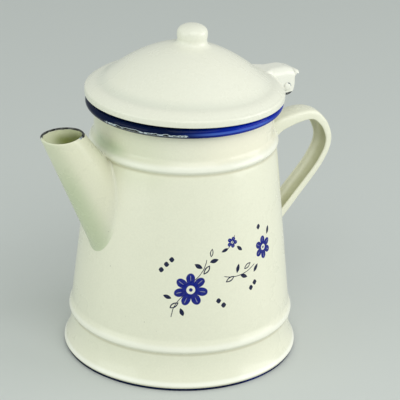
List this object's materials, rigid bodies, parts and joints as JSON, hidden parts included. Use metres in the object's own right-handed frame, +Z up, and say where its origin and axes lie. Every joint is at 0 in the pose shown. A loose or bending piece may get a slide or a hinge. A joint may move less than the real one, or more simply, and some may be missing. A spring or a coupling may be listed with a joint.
{
  "type": "enamel coffee pot",
  "caption": "Conical enamelled steel coffee pot with a straight spout, a channel strap handle and a domed lid on a pin hinge.",
  "frame": {"origin": "on the pot's axis, in the plane that the pot stands on", "axes": "+Z up, the spout towards -X, the handle and the lid's hinge towards +X"},
  "size_m": [0.2013, 0.141, 0.201],
  "materials": {
    "body_enamel": "glossy cream enamel",
    "seam_enamel": "glossy dark blue enamel",
    "rim_enamel": "glossy cobalt blue enamel",
    "wire_steel": "drawn iron wire",
    "spout_enamel": "glossy cream enamel",
    "handle_enamel": "glossy cream enamel",
    "hinge_enamel": "glossy cream enamel",
    "pin_enamel": "worn cream enamel",
    "lid_enamel": "glossy cream enamel",
    "collar_enamel": "cream enamel",
    "knob_enamel": "glossy cream enamel",
    "rivet_steel": "darkened steel"
  },
  "bodies": {
    "pot": {"body_shell": "body_enamel", "bottom_plate": "seam_enamel", "mouth_rim": "rim_enamel", "rim_wire": "wire_steel", "spout_tube": "spout_enamel", "handle_strap": "handle_enamel", "hinge_bracket": "hinge_enamel", "hinge_pin": "pin_enamel"},
    "lid": {"lid_shell": "lid_enamel", "lid_collar": "collar_enamel", "lid_knob": "knob_enamel", "knob_rivet": "rivet_steel", "hinge_cap": "hinge_enamel"}
  },
  "joints": [
    {"name": "lid_hinge", "type": "hinge", "parent": "pot", "child": "lid", "pos_m": [0.0683, 0, 0.1536], "axis": [0, 1, 0], "range_deg": [0, 105]}
  ]
}
